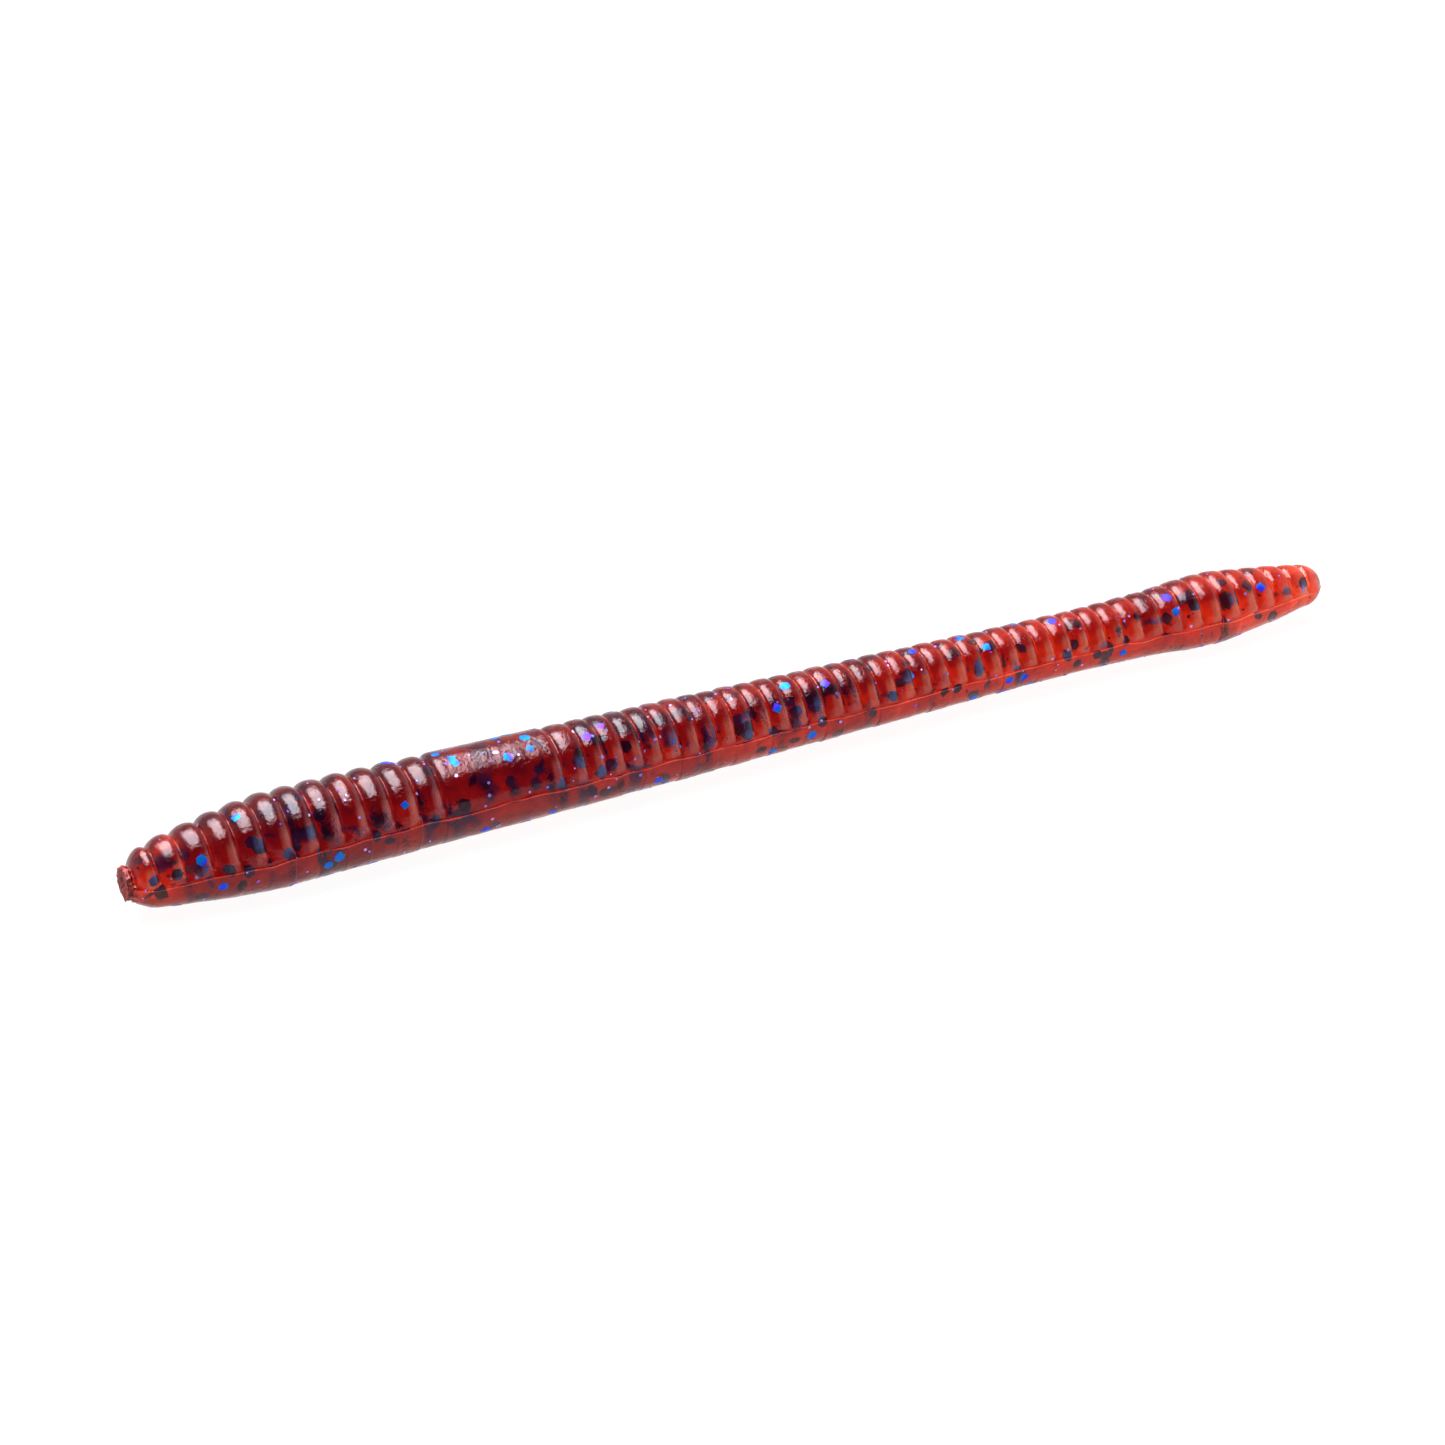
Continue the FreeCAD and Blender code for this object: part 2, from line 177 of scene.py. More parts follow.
first_joint = Vector(joints[JOINT_ORDER[0]]["pos_m"])
last_joint = Vector(joints[JOINT_ORDER[-1]]["pos_m"])
FALL = (last_joint.z - first_joint.z) / (last_joint.x - first_joint.x)
NOSE_X = cad_low.x


def axis_height(x):
    """The height of the mould axis, which falls evenly from the nose to the tail."""
    return first_joint.z + FALL * (x - first_joint.x)


def ring_places():
    """The place of every ring along the axis, from the nose, and the tip's end last."""
    places = [FIRST_RING, FIRST_RING + FIRST_RIB]
    lengths = [HEAD_PITCH] * (HEAD_RIBS - 1) + [COLLAR_LENGTH, REAR_COLLAR_RIB]
    lengths += [BODY_PITCH] * (TAIL_RING - BODY_RING)
    lengths += [TAIL_PITCH] * (LAST_RING - TAIL_RING) + [TIP_LENGTH]
    for length in lengths:
        places.append(places[-1] + length)
    return np.array(places)


RINGS = ring_places()
LENGTH = RINGS[-1]


def smooth_curve(table, at):
    """The value at each place of a smooth curve through a table of (place, value)."""
    places = np.array([row[0] for row in table])
    values = np.array([row[1] for row in table])
    slopes = np.gradient(values, places)
    at = np.clip(at, places[0], places[-1])
    index = np.clip(np.searchsorted(places, at) - 1, 0, len(places) - 2)
    width = places[index + 1] - places[index]
    t = (at - places[index]) / width
    start = values[index] * (2 * t**3 - 3 * t**2 + 1) + slopes[index] * width * (t**3 - 2 * t**2 + t)
    end = values[index + 1] * (3 * t**2 - 2 * t**3) + slopes[index + 1] * width * (t**3 - t**2)
    return start + end


def smooth_step(low, high, value):
    """Rises smoothly from 0 at low to 1 at high."""
    t = np.clip((value - low) / (high - low), 0.0, 1.0)
    return t * t * (3 - 2 * t)


def band(value, start, full, level, end):
    """Rises from start to full, stays at 1 up to level and falls to nothing at end."""
    return smooth_step(start, full, value) * (1 - smooth_step(level, end, value))


shape_draw = random.Random(SHAPE_SEED)
rib_size = np.array([shape_draw.uniform(-1, 1) for _ in range(LAST_RING + 1)])
rib_depth = np.array([shape_draw.uniform(-1, 1) for _ in range(LAST_RING + 1)])


def turned(angle):
    """An angle measured from the middle of the ribs, which have rolled back a little."""
    return (angle - ROLL + math.pi) % (2 * math.pi) - math.pi


def skin_radius(place, angle):
    """How far the skin is from the axis, before small irregularities. Arrays go in and out."""
    over = smooth_curve(RADII, place)
    cell = np.clip(np.searchsorted(RINGS, place, side="right") - 1, 0, LAST_RING)
    start = RINGS[cell]
    length = RINGS[np.clip(cell + 1, 0, LAST_RING + 1)] - start
    length = np.maximum(length, BODY_PITCH)
    across = np.clip(2 * (place - start) / length - 1, -1, 1)
    steepness = np.abs(turned(angle))

    groove = np.where(cell < COLLAR_RING + 1, HEAD_GROOVE, BODY_GROOVE)
    groove = groove * (1 + GROOVE_VARIATION * rib_depth[cell])
    floor_depth = groove + (LOWER_STEP - groove) * smooth_step(RIB_END_START, RIB_END, steepness)
    towards_end = np.clip((steepness - RIB_END_START) / (RIB_END - RIB_END_START), 0, None)

    from_middle = np.abs(across)
    is_collar = cell == COLLAR_RING
    flat = 1 - 2 * COLLAR_BEVEL / COLLAR_LENGTH
    from_middle = np.where(is_collar, np.clip((from_middle - flat) / (1 - flat), 0, 1), from_middle)
    roundness = np.where(cell < COLLAR_RING, HEAD_ROUNDNESS, BODY_ROUNDNESS)
    reach = np.clip(from_middle**roundness + towards_end**2, 0, 1)
    rise = np.hypot(1 - reach, GROOVE_FILLET) - GROOVE_FILLET * reach
    rise = np.power(rise / math.hypot(1, GROOVE_FILLET), GROOVE_SHARPNESS)
    crown = over + RIB_VARIATION * rib_size[cell] * np.where(is_collar, 0, 1)
    ribbed = crown - floor_depth * (1 - rise)

    tip = np.clip((place - RINGS[LAST_RING]) / TIP_LENGTH, 0, 1)
    cap = (RADII[-1][1] - LOWER_STEP) * np.sqrt(np.clip(1 - tip**2, 0, 1))
    radius = np.where(cell >= LAST_RING, cap, ribbed)

    stub = smooth_step(FIRST_RING, 0.5 * FIRST_RING, place)
    return radius + (STUB_RADIUS - radius) * stub


def radius_at(place, angle):
    """How far the skin is from the axis at one place and angle."""
    return float(skin_radius(np.array([place]), np.array([angle]))[0])


def skin_noise(points, layers):
    """The sum at each point of smooth noise in layers of (size, strength, seed)."""
    total = 0
    for size, strength, seed in layers:
        offset = Vector([seed * spacing for spacing in SEED_SPACING])
        layer = np.array([perlin.noise(Vector(point) / size + offset) for point in points])
        total = total + strength * layer
    return total


def on_axis(place):
    """Where the worm's middle line is at each place, with the nose's slight droop."""
    x = NOSE_X + place
    droop = NOSE_DROOP * np.clip(1 - place / DROOP_LENGTH, 0, 1) ** 2
    return x, axis_height(x) - droop


def to_space(place, angle, radius):
    """The point at each place, angle and distance from the axis."""
    x, height = on_axis(place)
    return np.stack([x, radius * np.sin(angle), height + radius * np.cos(angle)], axis=-1)


# ------------------------------------------------------------------ the skin

SLICES_PER_RIB = 14
SLICES_ON_COLLAR = 60
COLLAR_CROWDING = 0.11
SLICES_ON_TIP = 16
SLICES_ON_STUB = 8
SLICES_TORN = 5
CIRCLE_POINTS = 88
FACE_RINGS = 9

# Extra points close to both parting lines, in degrees from the line, and how far the evenly
# spaced points stay away from it.
PARTING_STEPS = (-2.8, -1.6, -0.7, 0.0, 0.7, 1.6, 2.8)
PARTING_CLEARANCE = 3.4 * DEGREE


def skin_angles():
    """Angles round the axis: even, with extra ones close to both parting lines."""
    even = [2 * math.pi * index / CIRCLE_POINTS - math.pi for index in range(CIRCLE_POINTS)]
    parting = (-math.pi / 2, math.pi / 2)
    kept = [
        angle for angle in even
        if min(abs(turned(angle) - line) for line in parting) > PARTING_CLEARANCE
    ]
    fine = [line + step * DEGREE + ROLL for line in parting for step in PARTING_STEPS]
    return np.array(sorted(kept + fine))


def skin_places():
    """Places along the axis for every slice of skin, closest together in the grooves."""
    places = list(np.linspace(0, FIRST_RING, SLICES_ON_STUB, endpoint=False))
    for ring in range(LAST_RING + 1):
        start, end = RINGS[ring], RINGS[ring + 1]
        if ring == LAST_RING:
            turn = np.arange(SLICES_ON_TIP) / SLICES_ON_TIP * math.pi / 2
            places += list(start + (end - start) * np.sin(turn))
        elif ring == COLLAR_RING:
            even = np.arange(SLICES_ON_COLLAR) / SLICES_ON_COLLAR
            crowded = even - COLLAR_CROWDING * np.sin(2 * math.pi * even)
            places += list(start + (end - start) * crowded)
        else:
            turn = (np.arange(SLICES_PER_RIB) / SLICES_PER_RIB - 0.5) * math.pi
            places += list(start + (end - start) * (0.5 + 0.5 * np.sin(turn)))
    return np.array(places)


ANGLES = skin_angles()
PLACES = skin_places()
GRID_PLACE, GRID_ANGLE = np.meshgrid(PLACES, ANGLES, indexing="ij")


def fine_radius(place, angle):
    """How far the skin is from the axis, with the slight waves of a soft casting."""
    radius = skin_radius(place, angle)
    flat = to_space(place, angle, radius).reshape(-1, 3)
    waves = skin_noise(flat, SKIN_WAVES)
    return radius + SURFACE_UNDULATION * waves.reshape(radius.shape)


def flash_line():
    """How strongly the parting line's flash shows at every skin point, from 0 to 1.3."""
    along_axis = [(place, 0.0, 0.0) for place in PLACES]
    changes = skin_noise(along_axis, FLASH_CHANGES)
    strength = np.clip(FLASH_MEAN + FLASH_SWING * changes, *FLASH_LIMITS)[:, None]
    wobble = FLASH_WOBBLE * skin_noise(along_axis, FLASH_WANDERING)[:, None]
    off_line = (np.abs(turned(GRID_ANGLE)) - math.pi / 2 - wobble) / FLASH_WIDTH
    return strength * np.exp(-off_line**2)


def skin_grid():
    """Every skin point, as [slice, angle, xyz], with flash, undulation and a flat belly."""
    radius = fine_radius(GRID_PLACE, GRID_ANGLE) + FLASH_HEIGHT * flash
    tearing = smooth_step(TORN_LENGTH, 0.0, GRID_PLACE)
    flat = to_space(GRID_PLACE, GRID_ANGLE, radius).reshape(-1, 3)
    crumbs = skin_noise(flat, STUB_CRUMBS).reshape(radius.shape)
    radius = radius + STUB_ROUGHNESS * tearing * crumbs
    points = to_space(GRID_PLACE, GRID_ANGLE, radius)
    points[..., 2] = np.maximum(points[..., 2], 0.0)
    return points


# How light the plastic looks at each place along the axis, from 0 to 1, as painted light: darkest
# where the worm is thickest, lighter where thin parts let light through. Then painted shade in a
# dark band on the upper flanks, painted light on the belly, painted highlights in the grooves and
# painted light along the flash.
PAINTED_LIGHT_ALONG = (
    (0.0 * MM, 0.52),
    (2.0 * MM, 0.48),
    (4.0 * MM, 0.36),
    (6.0 * MM, 0.28),
    (12.0 * MM, 0.22),
    (24.0 * MM, 0.24),
    (50.0 * MM, 0.33),
    (68.0 * MM, 0.41),
    (77.0 * MM, 0.46),
    (90.0 * MM, 0.45),
    (95.0 * MM, 0.55),
    (99.6 * MM, 0.64),
    (101.2 * MM, 0.68),
)
PAINTED_SHADE_BAND = (12 * DEGREE, 34 * DEGREE, 48 * DEGREE, 66 * DEGREE)
PAINTED_SHADE_DEPTH = 0.17
BELLY_START = 88 * DEGREE
BELLY_FULL = 125 * DEGREE
BELLY_PAINTED_LIGHT = 0.16
GROOVE_LINE = 0.07 * MM
GROOVE_LINE_FULL = 50 * DEGREE
GROOVE_LINE_END = 74 * DEGREE
GROOVE_PAINTED_HIGHLIGHT = 0.34
FLASH_PAINTED_LIGHT = 1.10

# A pale painted reflection on each rib's foot: how far round the axis it reaches, and how far
# forward of the groove behind the rib.
REFLECTION_ROUND = (44 * DEGREE, 60 * DEGREE, 84 * DEGREE, 88 * DEGREE)
REFLECTION_ALONG = (0.08 * MM, 0.20 * MM, 0.72 * MM, 0.98 * MM)
REFLECTION_STRENGTH = 0.72

CELL = np.clip(np.searchsorted(RINGS, GRID_PLACE, side="right") - 1, 0, LAST_RING)
PAST_RING = GRID_PLACE - RINGS[CELL]
BEFORE_RING = RINGS[np.clip(CELL + 1, 0, LAST_RING + 1)] - GRID_PLACE
STEEPNESS = np.abs(turned(GRID_ANGLE))


def painted_light_and_shade():
    """How light the plastic looks at every skin point, as painted light and shade: thin parts let
    the most light out.
    """
    light = smooth_curve(PAINTED_LIGHT_ALONG, GRID_PLACE)
    # Painted shade: a darker band on the upper flanks.
    light = light - PAINTED_SHADE_DEPTH * band(STEEPNESS, *PAINTED_SHADE_BAND)
    # Painted light: a lighter belly.
    light = light + BELLY_PAINTED_LIGHT * smooth_step(BELLY_START, BELLY_FULL, STEEPNESS)
    # Painted highlights: pale lines in the grooves; then painted light along the flash.
    groove = np.exp(-(np.minimum(PAST_RING, BEFORE_RING) / GROOVE_LINE) ** 2)
    groove = groove * smooth_step(GROOVE_LINE_END, GROOVE_LINE_FULL, STEEPNESS)
    light = light + GROOVE_PAINTED_HIGHLIGHT * groove + FLASH_PAINTED_LIGHT * flash
    return np.clip(light, 0.0, 1.0)


def skin_painted_reflection():
    """How strongly a painted reflection pales the skin, from 0 to 1: it shows on the tail side of
    each rib's foot.
    """
    return REFLECTION_STRENGTH * band(STEEPNESS, *REFLECTION_ROUND) * band(BEFORE_RING, *REFLECTION_ALONG)


flash = flash_line()
skin_points = skin_grid()
# Painted light and shade, and a painted reflection, kept for every skin point.
painted_light_marks = {"painted_light": painted_light_and_shade(), "painted_reflection": skin_painted_reflection()}


def slice_nearest(place):
    return int(np.argmin(np.abs(PLACES - place)))


def stub_face(rim):
    """Rings of points that close the nose end with the rough, dished cut of the gate."""
    rings = []
    middle = rim.mean(axis=0)
    for step in range(1, FACE_RINGS):
        share = 1 - step / FACE_RINGS
        ring = middle + (rim - middle) * share
        from_middle = share * STUB_RADIUS
        dish = STUB_DISH_DEPTH * smooth_step(STUB_DISH_RADIUS, 0.5 * STUB_DISH_RADIUS, from_middle)
        ring[:, 0] += dish + FACE_ROUGHNESS * np.abs(skin_noise(ring, FACE_CRUMBS))
        rings.append(ring)
    centre = middle + np.array([STUB_DISH_DEPTH, 0, 0])
    return rings, centre


def rim_normals(row):
    """Straight out of the skin all round a slice, the same for both lengths that meet there."""
    along = skin_points[row + 1] - skin_points[row - 1]
    around = np.roll(skin_points[row], -1, axis=0) - np.roll(skin_points[row], 1, axis=0)
    outwards = np.cross(along, around)
    return outwards / np.linalg.norm(outwards, axis=1, keepdims=True)


def round_pairs(count, turn):
    """Pairs of neighbouring numbers round a ring of points, in either direction."""
    pairs = [(number, (number + 1) % count) for number in range(count)]
    return [(after, number) for number, after in pairs] if turn else pairs


def wall(lower, upper, count, turn=False):
    """Faces between two rings of points. A ring is given by the index of its first point."""
    pairs = round_pairs(count, turn)
    return [(lower + one, lower + two, upper + two, upper + one) for one, two in pairs]


def fan(rim, tip, count, turn):
    """Faces between a ring of points and the point in its middle."""
    return [(rim + one, rim + two, tip) for one, two in round_pairs(count, turn)]


def add_object(name, data):
    """Puts a mesh, a light or a camera in the scene."""
    thing = bpy.data.objects.new(name, data)
    bpy.context.collection.objects.link(thing)
    return thing


def skin_faces(first, last):
    """The points of a length of skin, then its outer faces, torn faces and cut faces."""
    count = len(ANGLES)
    at_nose = first == 0
    at_tail = last == len(PLACES) - 1
    points = [tuple(point) for point in skin_points[first:last + 1].reshape(-1, 3)]
    faces = []
    torn_faces = []
    cut_faces = []
    for row in range(last - first):
        target = torn_faces if at_nose and row < SLICES_TORN else faces
        target += wall(row * count, (row + 1) * count, count)

    rim = 0
    centre = skin_points[first].mean(axis=0)
    if at_nose:
        rings, centre = stub_face(skin_points[first].copy())
        for ring in rings:
            torn_faces += wall(rim, len(points), count, True)
            rim = len(points)
            points += [tuple(point) for point in ring]
    nose_end = torn_faces if at_nose else cut_faces
    nose_end += fan(rim, len(points), count, True)
    points.append(tuple(centre))

    centre = skin_points[last].mean(axis=0)
    if at_tail:
        end_x, end_z = on_axis(np.array(LENGTH))
        centre = (float(end_x), 0, float(end_z))
    tail_end = faces if at_tail else cut_faces
    tail_end += fan((last - first) * count, len(points), count, False)
    points.append(tuple(centre))
    return points, faces, torn_faces, cut_faces


def skin_normals(first, last, point_count):
    """Normals for the rims where lengths of skin meet. Zero leaves a point's normal alone."""
    count = len(ANGLES)
    tail_rim = (last - first) * count
    normals = np.zeros((point_count, 3))
    if first > 0:
        normals[:count] = rim_normals(first)
    if last < len(PLACES) - 1:
        normals[tail_rim:tail_rim + count] = rim_normals(last)
    return [tuple(normal) for normal in normals]


def build_skin(name, first, last):
    """One closed length of skin between two slices. Its cut ends are clear, and aren't seen."""
    points, faces, torn_faces, cut_faces = skin_faces(first, last)
    mesh = bpy.data.meshes.new(name)
    mesh.from_pydata(points, [], faces + torn_faces + cut_faces)
    groups = ((faces, plastisol), (torn_faces, torn), (cut_faces, clear_cut))
    slots = [slot for slot, (members, _) in enumerate(groups) for _ in members]
    used = sorted(set(slots))
    for slot in used:
        mesh.materials.append(groups[slot][1])
    for polygon, slot in zip(mesh.polygons, slots):
        polygon.use_smooth = groups[slot][1] != clear_cut
        polygon.material_index = used.index(slot)
    # Stores the painted light and shade and the painted reflection as point attributes.
    for mark, strength in painted_light_marks.items():
        values = list(strength[first:last + 1].ravel())
        values += [values[-1]] * (len(points) - len(values))
        attribute = mesh.attributes.new(mark, "FLOAT", "POINT")
        attribute.data.foreach_set("value", values)
    mesh.flip_normals()
    mesh.update()
    mesh.normals_split_custom_set_from_vertices(skin_normals(first, last, len(points)))
    return add_object(name, mesh)


# ------------------------------------------------------------------ materials

PRINCIPLED = "ShaderNodeBsdfPrincipled"
TRANSPARENT = "ShaderNodeBsdfTransparent"
NOISE_LIMITS = (0.3, 0.7)


def new_material(name, kind=PRINCIPLED):
    """A material with one shader, as (material, nodes, links, shader)."""
    material = bpy.data.materials.new(name)
    material.use_nodes = True
    nodes, links = material.node_tree.nodes, material.node_tree.links
    nodes.clear()
    output = nodes.new("ShaderNodeOutputMaterial")
    shader = nodes.new(kind)
    links.new(shader.outputs["BSDF"], output.inputs["Surface"])
    return material, nodes, links, shader


def object_noise(nodes, links, scale, detail=2.0, roughness=0.5):
    """A noise texture in the object's own metres."""
    coordinates = nodes.new("ShaderNodeTexCoord")
    texture = nodes.new("ShaderNodeTexNoise")
    texture.inputs["Scale"].default_value = scale
    texture.inputs["Detail"].default_value = detail
    texture.inputs["Roughness"].default_value = roughness
    links.new(coordinates.outputs["Object"], texture.inputs["Vector"])
    return texture


def map_range(nodes, links, source, limits, to_limits):
    """Maps a value between two limits onto a value between two others."""
    node = nodes.new("ShaderNodeMapRange")
    node.inputs["From Min"].default_value = limits[0]
    node.inputs["From Max"].default_value = limits[1]
    node.inputs["To Min"].default_value = to_limits[0]
    node.inputs["To Max"].default_value = to_limits[1]
    links.new(source, node.inputs["Value"])
    return node.outputs["Result"]


def colour_ramp(nodes, links, source, colours):
    """The colour that a value picks from a table of (value, colour)."""
    ramp = nodes.new("ShaderNodeValToRGB")
    elements = ramp.color_ramp.elements
    while len(elements) < len(colours):
        elements.new(0.5)
    for element, (place, colour) in zip(elements, colours):
        element.position = place
        element.color = (*colour, 1.0)
    links.new(source, ramp.inputs["Fac"])
    return ramp.outputs["Color"]


def add_bump(nodes, links, shader, height, strength, distance):
    """Fine relief in the surface, from a value that stands for its height."""
    bump = nodes.new("ShaderNodeBump")
    bump.inputs["Strength"].default_value = strength
    bump.inputs["Distance"].default_value = distance
    links.new(height, bump.inputs["Height"])
    links.new(bump.outputs["Normal"], shader.inputs["Normal"])


# The plastic's colours, picked by its painted light and shade from dark to light.
PLASTIC_COLOURS = (
    (0.00, (0.08, 0.001, 0.007)),
    (0.25, (0.21, 0.003, 0.008)),
    (0.45, (0.45, 0.018, 0.008)),
    (0.70, (0.90, 0.060, 0.014)),
    (1.00, (1.00, 0.45, 0.30)),
)
MOTTLE = (-0.14, 0.12)
# The colour of the painted reflection.
REFLECTION_COLOUR = (0.38, 0.25, 0.24, 1.0)
SKIN_ROUGHNESS = (0.04, 0.10)
PATCH_LIMITS = (0.35, 0.65)
PEBBLE_STRENGTH = 0.8
PEBBLE_HEIGHT = 0.05 * MM


def make_plastisol():
    """Clear red plastic, with painted light and shade that is darker where it is thick, a painted
    reflection, and a finely pebbled wet skin.
    """
    material, nodes, links, shader = new_material("plastisol")
    shader.inputs["Transmission Weight"].default_value = 0.90
    shader.inputs["IOR"].default_value = 1.46

    # Painted light and shade, kept in a skin attribute, picks the plastic's colour.
    painted_light = nodes.new("ShaderNodeAttribute")
    painted_light.attribute_name = "painted_light"
    cloud = object_noise(nodes, links, scale=520.0, detail=3.0, roughness=0.6)
    mottle = map_range(nodes, links, cloud.outputs["Fac"], NOISE_LIMITS, MOTTLE)
    tone = nodes.new("ShaderNodeMath")
    tone.operation = "ADD"
    links.new(painted_light.outputs["Fac"], tone.inputs[0])
    links.new(mottle, tone.inputs[1])
    clear_colour = colour_ramp(nodes, links, tone.outputs["Value"], PLASTIC_COLOURS)
    # A painted reflection pales the colour on the tail side of each rib's foot.
    painted_reflection = nodes.new("ShaderNodeAttribute")
    painted_reflection.attribute_name = "painted_reflection"
    reflected_colour = nodes.new("ShaderNodeMixRGB")
    reflected_colour.inputs["Color2"].default_value = REFLECTION_COLOUR
    links.new(painted_reflection.outputs["Fac"], reflected_colour.inputs["Fac"])
    links.new(clear_colour, reflected_colour.inputs["Color1"])
    links.new(reflected_colour.outputs["Color"], shader.inputs["Base Color"])

    patches = object_noise(nodes, links, scale=900.0, detail=3.0, roughness=0.55)
    roughness = map_range(nodes, links, patches.outputs["Fac"], PATCH_LIMITS, SKIN_ROUGHNESS)
    links.new(roughness, shader.inputs["Roughness"])

    pebbles = object_noise(nodes, links, scale=3600.0, detail=3.0, roughness=0.6)
    add_bump(nodes, links, shader, pebbles.outputs["Fac"], PEBBLE_STRENGTH, PEBBLE_HEIGHT)
    return material


def make_clear_cut():
    """The inner ends of a length of skin, where it goes on into the next length."""
    return new_material("clear_cut", TRANSPARENT)[0]


TORN_COLOURS = (
    (0.34, (0.14, 0.004, 0.008)),
    (0.70, (0.44, 0.07, 0.055)),
)
TORN_ROUGHNESS = (0.22, 0.5)
CRUMB_STRENGTH = 0.9
CRUMB_HEIGHT = 0.08 * MM


def make_torn():
    """The torn gate: the same plastic, whitened and crumbly where it was ripped."""
    material, nodes, links, shader = new_material("plastisol_torn")
    crumbs = object_noise(nodes, links, scale=5200.0, detail=4.0, roughness=0.65)
    colour = colour_ramp(nodes, links, crumbs.outputs["Fac"], TORN_COLOURS)
    links.new(colour, shader.inputs["Base Color"])
    roughness = map_range(nodes, links, crumbs.outputs["Fac"], NOISE_LIMITS, TORN_ROUGHNESS)
    links.new(roughness, shader.inputs["Roughness"])
    add_bump(nodes, links, shader, crumbs.outputs["Fac"], CRUMB_STRENGTH, CRUMB_HEIGHT)
    return material


FOIL_SPREAD = (0.7, 1.3)
GRAIN_STRENGTH = 0.5
GRAIN_HEIGHT = 0.03 * MM


def make_foil(name, colours, roughness, painted_glow):
    """Foil flakes. The colour changes from flake to flake with a slow noise in space, and the flakes
    glow with it as painted light.
    """
    material, nodes, links, shader = new_material(name)
    shader.inputs["Metallic"].default_value = 0.6
    tint = object_noise(nodes, links, scale=620.0, detail=1.0)
    colour = colour_ramp(nodes, links, tint.outputs["Fac"], colours)
    links.new(colour, shader.inputs["Base Color"])
    # Painted light: the flakes glow in their own colour, though they are no lamp.
    links.new(colour, shader.inputs["Emission Color"])
    shader.inputs["Emission Strength"].default_value = painted_glow
    grain = object_noise(nodes, links, scale=5200.0, detail=2.0)
    spread = [share * roughness for share in FOIL_SPREAD]
    grainy = map_range(nodes, links, grain.outputs["Fac"], NOISE_LIMITS, spread)
    links.new(grainy, shader.inputs["Roughness"])
    add_bump(nodes, links, shader, grain.outputs["Fac"], GRAIN_STRENGTH, GRAIN_HEIGHT)
    return material


plastisol = make_plastisol()
clear_cut = make_clear_cut()
torn = make_torn()
large_foil = make_foil(
    "foil_blue",
    (
        (0.32, (0.03, 0.03, 0.60)),
        (0.44, (0.00, 0.12, 0.50)),
        (0.54, (0.00, 0.16, 0.42)),
        (0.62, (0.03, 0.05, 0.62)),
        (0.74, (0.12, 0.03, 0.55)),
    ),
    roughness=0.42,
    painted_glow=0.3,
)
# The sunk flakes carry the strongest painted glow.
sunk_foil = make_foil(
    "foil_sunk",
    (
        (0.32, (0.10, 0.10, 0.36)),
        (0.44, (0.05, 0.15, 0.38)),
        (0.54, (0.03, 0.10, 0.32)),
        (0.62, (0.01, 0.03, 0.07)),
        (0.74, (0.12, 0.07, 0.30)),
    ),
    roughness=0.42,
    painted_glow=1.0,
)
small_foil = make_foil(
    "foil_violet",
    (
        (0.30, (0.18, 0.04, 0.50)),
        (0.50, (0.42, 0.30, 0.62)),
        (0.70, (0.05, 0.12, 0.60)),
    ),
    roughness=0.22,
    painted_glow=0.3,
)


# ------------------------------------------------------------------ flakes in the plastic

LARGE_SEED = 11
LARGE_FLAKES = 250
SURFACE_SEED = 13
SURFACE_FLAKES = 110
LARGE_ACROSS = (0.70 * MM, 0.98 * MM)
LARGE_THICKNESS = 0.03 * MM
SMALL_SEED = 12
SMALL_FLAKES = 700
SMALL_ACROSS = (0.11 * MM, 0.26 * MM)
SMALL_THICKNESS = 0.02 * MM
FLAKE_COVER = 0.02 * MM
FLAKE_PROUD = 0.012 * MM
ATTEMPTS_PER_FLAKE = 40

# Foil is cut into hexagons, and some flakes come out square.
FLAKE_SIDES = 6
SQUARE_SIDES = 4
SQUARE_SHARE = 0.22
DRAPED_SQUARE_SHARE = 0.35

# Where flakes may lie: how far from the nose and the tail, how strongly the deep ones crowd
# towards the skin, and how much of its thickness a small flake in the surface stands out.
FLAKES_NOSE_GAP = 0.5 * MM
FLAKES_TAIL_GAP = 0.4 * MM
DEPTH_CROWDING = 1.5
SMALL_RISE = 0.3

# What large flakes in the surface keep clear of: the gate stub, the grooves (as a share of
# the flake's width), the flash (in radians) and the underside.
STUB_CLEARANCE = 0.6 * MM
GROOVE_CLEARANCE = 0.56
FLASH_CLEARANCE = 0.20
UNDERSIDE_START = 165 * DEGREE

# Layers of flakes, each as (share of the flakes, greatest depth, tilt from the skin). A
# depth of 0 means in the surface.
LARGE_LAYERS = ((0.60, 0.8 * MM, 0.35), (0.40, 3.2 * MM, 1.6))
SMALL_LAYERS = ((0.42, 0.0, 0.12), (0.20, 0.12 * MM, 0.35), (0.38, 1.5 * MM, 1.6))


def flake_corners(centre, normal, across, thickness, sides, turn):
    """The two rims of a flat platelet, as two lists of points."""
    normal = Vector(normal).normalized()
    along = normal.orthogonal().normalized()
    along = Matrix.Rotation(turn, 3, normal) @ along
    other = normal.cross(along)
    radius = across / 2 / math.cos(math.pi / sides)
    rims = []
    for level in (-0.5, 0.5):
        rim = []
        for index in range(sides):
            angle = 2 * math.pi * index / sides
            spoke = along * math.cos(angle) + other * math.sin(angle)
            rim.append(Vector(centre) + normal * (level * thickness) + spoke * radius)
        rims.append(rim)
    return rims


def is_inside(point):
    """Whether a point is in the plastic with enough cover over it."""
    place = point.x - NOSE_X
    if place < FIRST_RING or place > LENGTH - FLAKE_COVER:
        return False
    if point.z < FLAKE_COVER:
        return False
    _, height = on_axis(np.array(place))
    sideways, rise = point.y, point.z - float(height)
    radius = radius_at(place, math.atan2(sideways, rise))
    return math.hypot(sideways, rise) < radius - FLAKE_COVER


